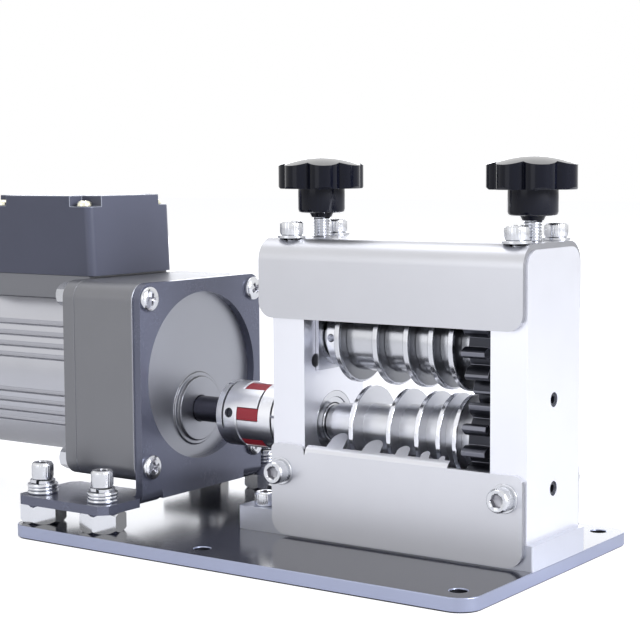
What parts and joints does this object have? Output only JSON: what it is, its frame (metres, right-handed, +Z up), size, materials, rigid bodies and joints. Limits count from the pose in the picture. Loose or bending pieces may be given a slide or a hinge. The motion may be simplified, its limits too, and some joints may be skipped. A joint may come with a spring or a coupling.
{
  "type": "wire stripping machine",
  "caption": "Bench wire stripping machine: a geared motor turns a grooved feed roller under height-adjustable blade discs.",
  "frame": {"origin": "centre of the base plate's underside", "axes": "+X along the shafts from the motor to the stripping head, +Y to the back, away from the operator, +Z up"},
  "size_m": [0.379, 0.144, 0.1708],
  "materials": {
    "base_paint": "dark satin paint over a sawn steel edge",
    "bed_steel": "machined and zinc plated, satin",
    "zinc": "bright zinc plating",
    "black_steel": "black oxide",
    "bracket_paint": "blue-grey paint, satin",
    "cast_housing": "cast and machined, dull grey",
    "dark_shaft": "dark turned steel with machine oil",
    "motor_shell": "extruded and turned, satin",
    "core_steel": "bare laminated steel",
    "fan_plastic": "moulded, matt",
    "fan_cover_plastic": "moulded, matt",
    "box_paint": "dark grey paint over a casting, satin",
    "brass": "yellow plated screws",
    "coupling_alloy": "turned, bright",
    "spider_rubber": "moulded polyurethane, red",
    "plate_alloy": "milled and bead blasted, pale satin",
    "bearing_steel": "ground and polished",
    "roller_steel": "turned, bright",
    "gear_black": "black oxide with oil",
    "blade_steel": "hardened and ground",
    "block_steel": "milled, satin",
    "cover_sheet": "bent sheet, satin zinc",
    "knob_plastic": "moulded, glossy black"
  },
  "bodies": {
    "root": {"base_plate": "base_paint", "bed_plate": "bed_steel", "bed_screws": "zinc", "bed_cap_screws": "zinc", "bed_stop_screw": "black_steel", "motor_bracket": "bracket_paint", "foot_bolts": "zinc", "foot_spring_washers": "zinc", "foot_flat_washers": "zinc", "spacer_nuts": "zinc", "gear_head": "cast_housing", "gear_head_screws": "zinc", "gear_head_nuts": "zinc", "motor_flange": "cast_housing", "motor_housing": "motor_shell", "stator": "core_steel", "rear_cap": "motor_shell", "rear_cap_screws": "zinc", "fan_cover": "fan_cover_plastic", "fan_cover_screws": "zinc", "box_saddle": "box_paint", "terminal_box": "box_paint", "terminal_lid": "box_paint", "lid_screws": "brass", "cable_gland": "fan_plastic", "side_plate_left": "plate_alloy", "side_plate_right": "plate_alloy", "plate_set_screws": "black_steel", "lower_bearing_rings": "bearing_steel", "lift_springs": "zinc", "upper_cover": "cover_sheet", "lower_cover": "cover_sheet", "rear_cover": "cover_sheet", "cover_screws": "zinc", "cover_washers": "zinc"},
    "motor_rotor": {"rotor": "core_steel", "cooling_fan": "fan_plastic"},
    "feed_drive": {"output_shaft": "dark_shaft", "coupling_hub_motor": "coupling_alloy", "coupling_hub_roller": "coupling_alloy", "coupling_spider": "spider_rubber", "coupling_screws": "black_steel", "lower_inner_rings": "bearing_steel", "feed_shaft_bushes": "roller_steel", "feed_shaft": "roller_steel", "feed_roller": "roller_steel", "feed_gear": "gear_black"},
    "carriage": {"bearing_block_left": "block_steel", "bearing_block_right": "block_steel", "upper_bearing_rings": "bearing_steel"},
    "blade_roller": {"blade_shaft": "roller_steel", "blade_discs": "blade_steel", "blade_sleeves": "roller_steel", "blade_gear": "gear_black", "upper_inner_rings": "bearing_steel"},
    "left_adjuster": {"knob_left": "knob_plastic", "adjusting_screw_left": "zinc"},
    "right_adjuster": {"knob_right": "knob_plastic", "adjusting_screw_right": "zinc"}
  },
  "joints": [
    {"name": "motor_spin", "type": "hinge", "parent": "root", "child": "motor_rotor", "pos_m": [0.035, 0.0015, 0.07], "axis": [1, 0, 0], "continuous": true},
    {"name": "feed_spin", "type": "hinge", "parent": "root", "child": "feed_drive", "pos_m": [0.035, 0.0015, 0.054], "axis": [1, 0, 0], "continuous": true},
    {"name": "blade_height", "type": "slide", "parent": "root", "child": "carriage", "axis": [0, 0, 1], "range_m": [0, 0.004], "deforming": ["lift_springs"]},
    {"name": "blade_spin", "type": "hinge", "parent": "carriage", "child": "blade_roller", "pos_m": [0.035, 0.0015, 0.093], "axis": [1, 0, 0], "continuous": true},
    {"name": "knob_left_turn", "type": "hinge", "parent": "carriage", "child": "left_adjuster", "pos_m": [0.003, 0.0015, 0.156], "axis": [0, 0, 1], "range_deg": [0, 1152]},
    {"name": "knob_right_turn", "type": "hinge", "parent": "carriage", "child": "right_adjuster", "pos_m": [0.107, 0.0015, 0.156], "axis": [0, 0, 1], "range_deg": [0, 1152]}
  ],
  "couplings": [
    {"joint": "feed_spin", "follows": "motor_spin", "ratio": 0.066667},
    {"joint": "blade_spin", "follows": "motor_spin", "ratio": -0.066667},
    {"joint": "knob_left_turn", "follows": "blade_height", "rad_per_m": 5026.5},
    {"joint": "knob_right_turn", "follows": "blade_height", "rad_per_m": 5026.5}
  ]
}
